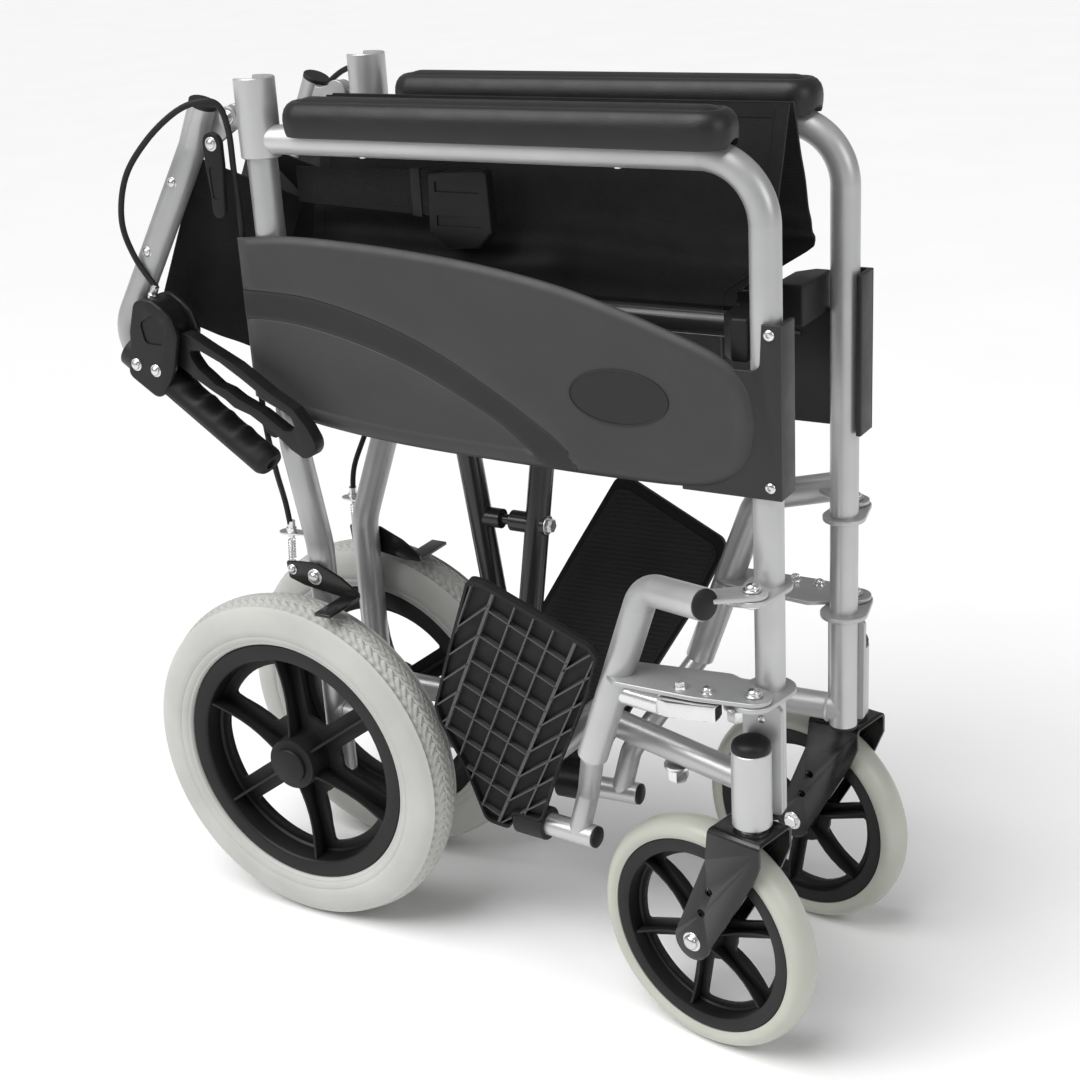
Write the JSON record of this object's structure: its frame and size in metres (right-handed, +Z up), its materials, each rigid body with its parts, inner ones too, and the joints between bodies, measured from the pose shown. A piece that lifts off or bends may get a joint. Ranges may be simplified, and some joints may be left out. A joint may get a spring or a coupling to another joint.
{
  "type": "folding transport wheelchair",
  "caption": "Attendant-propelled folding wheelchair with small rear wheels, swivelling casters, fold-down back, cable brakes and swing-away footrests, shown folded.",
  "frame": {"origin": "on the ground, under the middle of the bounding box of the folded chair", "axes": "+X is the chair's forward direction, +Y its left side, +Z up"},
  "size_m": [0.6686, 0.2921, 0.762],
  "materials": {
    "silver_paint": "satin silver-grey powder coat",
    "black_metal": "black powder coat",
    "bright_steel": "bright zinc plate",
    "charcoal_plastic": "fine-textured moulded plastic",
    "black_plastic": "moulded plastic",
    "black_rubber": "matt rubber",
    "black_nylon": "woven nylon",
    "arm_foam": "moulded polyurethane skin",
    "grey_rubber": "pale grey rubber with fine tread",
    "grey_polyurethane": "smooth polyurethane"
  },
  "bodies": {
    "frame_right": {"armrest_tube_right": "silver_paint", "rear_post_right": "silver_paint", "lower_rail_right": "silver_paint", "caster_housing_right": "silver_paint", "side_panel_right": "charcoal_plastic", "armrest_pad_right": "arm_foam", "brake_cable_right": "black_rubber", "lap_belt_right": "black_plastic"},
    "frame_left": {"armrest_tube_left": "silver_paint", "rear_post_left": "silver_paint", "lower_rail_left": "silver_paint", "caster_housing_left": "silver_paint", "side_panel_left": "charcoal_plastic", "armrest_pad_left": "arm_foam", "brake_cable_left": "black_rubber"},
    "brace_a": {"brace_a": "black_metal"},
    "brace_b": {"brace_b": "black_metal"},
    "seat_rail_left": {"seat_rail_left": "black_metal"},
    "seat_sling_left": {"seat_sling_left": "black_nylon"},
    "rear_wheel_left": {"rear_wheel_left": "black_plastic", "rear_tyre_left": "grey_rubber"},
    "caster_fork_left": {"caster_fork_left": "black_metal"},
    "caster_wheel_left": {"caster_wheel_left": "black_plastic", "caster_tyre_left": "grey_polyurethane"},
    "back_left": {"back_tube_left": "silver_paint", "push_grip_left": "black_rubber", "brake_mount_left": "black_plastic"},
    "back_outer_left": {"back_outer_left": "black_nylon"},
    "back_inner_left": {"back_inner_left": "black_nylon"},
    "brake_lever_left": {"brake_lever_left": "black_metal"},
    "release_lever_left": {"release_lever_left": "black_plastic"},
    "brake_arm_left": {"brake_arm_left": "black_metal"},
    "footrest_left": {"footrest_hanger_left": "silver_paint"},
    "footplate_left": {"footplate_left": "black_plastic"},
    "latch_left": {"latch_lever_left": "bright_steel"},
    "seat_rail_right": {"seat_rail_right": "black_metal"},
    "seat_sling_right": {"seat_sling_right": "black_nylon"},
    "rear_wheel_right": {"rear_wheel_right": "black_plastic", "rear_tyre_right": "grey_rubber"},
    "caster_fork_right": {"caster_fork_right": "black_metal"},
    "caster_wheel_right": {"caster_wheel_right": "black_plastic", "caster_tyre_right": "grey_polyurethane"},
    "back_right": {"back_tube_right": "silver_paint", "push_grip_right": "black_rubber", "brake_mount_right": "black_plastic"},
    "back_outer_right": {"back_outer_right": "black_nylon"},
    "back_inner_right": {"back_inner_right": "black_nylon"},
    "brake_lever_right": {"brake_lever_right": "black_metal"},
    "release_lever_right": {"release_lever_right": "black_plastic"},
    "brake_arm_right": {"brake_arm_right": "black_metal"},
    "footrest_right": {"footrest_hanger_right": "silver_paint"},
    "footplate_right": {"footplate_right": "black_plastic"},
    "latch_right": {"latch_lever_right": "bright_steel"}
  },
  "joints": [
    {"name": "fold", "type": "hinge", "parent": "frame_right", "child": "brace_a", "pos_m": [0.03175, -0.036, 0.19], "axis": [-1, 0, 0], "range_deg": [0, 41], "deforming": ["seat_sling_left", "back_outer_left", "back_inner_left", "seat_sling_right", "back_outer_right", "back_inner_right"]},
    {"name": "brace_cross", "type": "hinge", "parent": "brace_a", "child": "brace_b", "pos_m": [0.01275, 0, 0.3875], "axis": [-1, 0, 0], "range_deg": [-82, 0]},
    {"name": "frame_left_pivot", "type": "hinge", "parent": "brace_b", "child": "frame_left", "pos_m": [-0.01425, 0.036, 0.19], "axis": [-1, 0, 0], "range_deg": [0, 41]},
    {"name": "seat_rail_left_pivot", "type": "hinge", "parent": "brace_a", "child": "seat_rail_left", "pos_m": [0.05175, 0.036, 0.585], "axis": [-1, 0, 0], "range_deg": [-41, 0]},
    {"name": "seat_rail_right_pivot", "type": "hinge", "parent": "brace_b", "child": "seat_rail_right", "pos_m": [-0.01425, -0.036, 0.585], "axis": [-1, 0, 0], "range_deg": [0, 41]},
    {"name": "seat_sling_left_hinge", "type": "hinge", "parent": "seat_rail_left", "child": "seat_sling_left", "pos_m": [0.06925, 0.036, 0.585], "axis": [1, 0, 0], "range_deg": [0, 72]},
    {"name": "rear_wheel_left_spin", "type": "hinge", "parent": "frame_left", "child": "rear_wheel_left", "pos_m": [-0.17725, 0.071, 0.157], "axis": [0, 1, 0], "continuous": true},
    {"name": "caster_swivel_left", "type": "hinge", "parent": "frame_left", "child": "caster_fork_left", "pos_m": [0.27975, 0.1036, 0.2], "axis": [0, 0, 1], "continuous": true},
    {"name": "caster_wheel_left_spin", "type": "hinge", "parent": "caster_fork_left", "child": "caster_wheel_left", "pos_m": [0.23573, 0.11296, 0.1], "axis": [0.2079, 0.9781, 0], "continuous": true},
    {"name": "back_fold_left", "type": "hinge", "parent": "frame_left", "child": "back_left", "pos_m": [-0.17365, 0.076, 0.7301], "axis": [0, 1, 0], "range_deg": [0, 154.7], "deforming": ["brake_cable_left"]},
    {"name": "back_outer_left_hinge", "type": "hinge", "parent": "back_left", "child": "back_outer_left", "pos_m": [-0.22998, 0.076, 0.67607], "axis": [-0.4266, 0, -0.9045], "range_deg": [0, 67]},
    {"name": "back_inner_left_hinge", "type": "hinge", "parent": "back_outer_left", "child": "back_inner_left", "pos_m": [-0.14939, 0.03818, 0.63806], "axis": [0.4266, 0, 0.9045], "range_deg": [0, 134]},
    {"name": "brake_lever_left_pivot", "type": "hinge", "parent": "back_left", "child": "brake_lever_left", "pos_m": [-0.24436, 0.108, 0.55404], "axis": [0, 1, 0], "range_deg": [0, 5], "stiffness_Nm_per_rad": 1.2, "springref_deg": -8.59},
    {"name": "release_lever_left_pivot", "type": "hinge", "parent": "frame_left", "child": "release_lever_left", "pos_m": [-0.18025, 0.092, 0.712], "axis": [0, 1, 0], "range_deg": [0, 22], "stiffness_Nm_per_rad": 0.05, "springref_deg": -5.73},
    {"name": "brake_arm_left_pivot", "type": "hinge", "parent": "frame_left", "child": "brake_arm_left", "pos_m": [-0.16025, 0.0483, 0.327], "axis": [0, 1, 0], "range_deg": [0, 6], "stiffness_Nm_per_rad": 0.6, "springref_deg": -5.73},
    {"name": "footrest_swing_left", "type": "hinge", "parent": "frame_left", "child": "footrest_left", "pos_m": [0.28275, 0.104, 0.3155], "axis": [0, 0, -1], "range_deg": [0, 172]},
    {"name": "footplate_left_flip", "type": "hinge", "parent": "footrest_left", "child": "footplate_left", "pos_m": [0.08875, 0.0395, 0.124], "axis": [-0.9976, -0.0698, 0], "range_deg": [0, 73]},
    {"name": "latch_left_pivot", "type": "hinge", "parent": "footrest_left", "child": "latch_left", "pos_m": [0.25275, 0.119, 0.311], "axis": [0, 0, -1], "range_deg": [0, 15], "stiffness_Nm_per_rad": 0.1, "springref_deg": -5.73},
    {"name": "seat_sling_right_hinge", "type": "hinge", "parent": "seat_rail_right", "child": "seat_sling_right", "pos_m": [0.06925, -0.036, 0.585], "axis": [-1, 0, 0], "range_deg": [0, 72]},
    {"name": "rear_wheel_right_spin", "type": "hinge", "parent": "frame_right", "child": "rear_wheel_right", "pos_m": [-0.17725, -0.071, 0.157], "axis": [0, 1, 0], "continuous": true},
    {"name": "caster_swivel_right", "type": "hinge", "parent": "frame_right", "child": "caster_fork_right", "pos_m": [0.27975, -0.1036, 0.2], "axis": [0, 0, 1], "continuous": true},
    {"name": "caster_wheel_right_spin", "type": "hinge", "parent": "caster_fork_right", "child": "caster_wheel_right", "pos_m": [0.23573, -0.09424, 0.1], "axis": [0.2079, 0.9781, 0], "continuous": true},
    {"name": "back_fold_right", "type": "hinge", "parent": "frame_right", "child": "back_right", "pos_m": [-0.17365, -0.076, 0.7301], "axis": [0, 1, 0], "range_deg": [0, 154.7], "deforming": ["brake_cable_right"]},
    {"name": "back_outer_right_hinge", "type": "hinge", "parent": "back_right", "child": "back_outer_right", "pos_m": [-0.22998, -0.076, 0.67607], "axis": [0.4266, 0, 0.9045], "range_deg": [0, 67]},
    {"name": "back_inner_right_hinge", "type": "hinge", "parent": "back_outer_right", "child": "back_inner_right", "pos_m": [-0.14939, -0.03818, 0.63806], "axis": [-0.4266, 0, -0.9045], "range_deg": [0, 134]},
    {"name": "brake_lever_right_pivot", "type": "hinge", "parent": "back_right", "child": "brake_lever_right", "pos_m": [-0.24436, -0.108, 0.55404], "axis": [0, 1, 0], "range_deg": [0, 5], "stiffness_Nm_per_rad": 1.2, "springref_deg": -8.59},
    {"name": "release_lever_right_pivot", "type": "hinge", "parent": "frame_right", "child": "release_lever_right", "pos_m": [-0.18025, -0.092, 0.712], "axis": [0, 1, 0], "range_deg": [0, 22], "stiffness_Nm_per_rad": 0.05, "springref_deg": -5.73},
    {"name": "brake_arm_right_pivot", "type": "hinge", "parent": "frame_right", "child": "brake_arm_right", "pos_m": [-0.16025, -0.0483, 0.327], "axis": [0, 1, 0], "range_deg": [0, 6], "stiffness_Nm_per_rad": 0.6, "springref_deg": -5.73},
    {"name": "footrest_swing_right", "type": "hinge", "parent": "frame_right", "child": "footrest_right", "pos_m": [0.28275, -0.104, 0.3155], "axis": [0, 0, 1], "range_deg": [0, 172]},
    {"name": "footplate_right_flip", "type": "hinge", "parent": "footrest_right", "child": "footplate_right", "pos_m": [0.08875, -0.0395, 0.124], "axis": [0.9976, -0.0698, 0], "range_deg": [0, 73]},
    {"name": "latch_right_pivot", "type": "hinge", "parent": "footrest_right", "child": "latch_right", "pos_m": [0.25275, -0.119, 0.311], "axis": [0, 0, 1], "range_deg": [0, 15], "stiffness_Nm_per_rad": 0.1, "springref_deg": -5.73}
  ],
  "couplings": [
    {"joint": "brace_cross", "follows": "fold", "ratio": -2},
    {"joint": "frame_left_pivot", "follows": "fold", "ratio": 1},
    {"joint": "seat_rail_left_pivot", "follows": "fold", "ratio": -1},
    {"joint": "seat_rail_right_pivot", "follows": "fold", "ratio": 1},
    {"joint": "seat_sling_left_hinge", "follows": "fold", "ratio": 1.7561},
    {"joint": "back_outer_left_hinge", "follows": "fold", "ratio": 1.6341},
    {"joint": "back_inner_left_hinge", "follows": "fold", "ratio": 3.2683},
    {"joint": "seat_sling_right_hinge", "follows": "fold", "ratio": 1.7561},
    {"joint": "back_outer_right_hinge", "follows": "fold", "ratio": 1.6341},
    {"joint": "back_inner_right_hinge", "follows": "fold", "ratio": 3.2683}
  ]
}
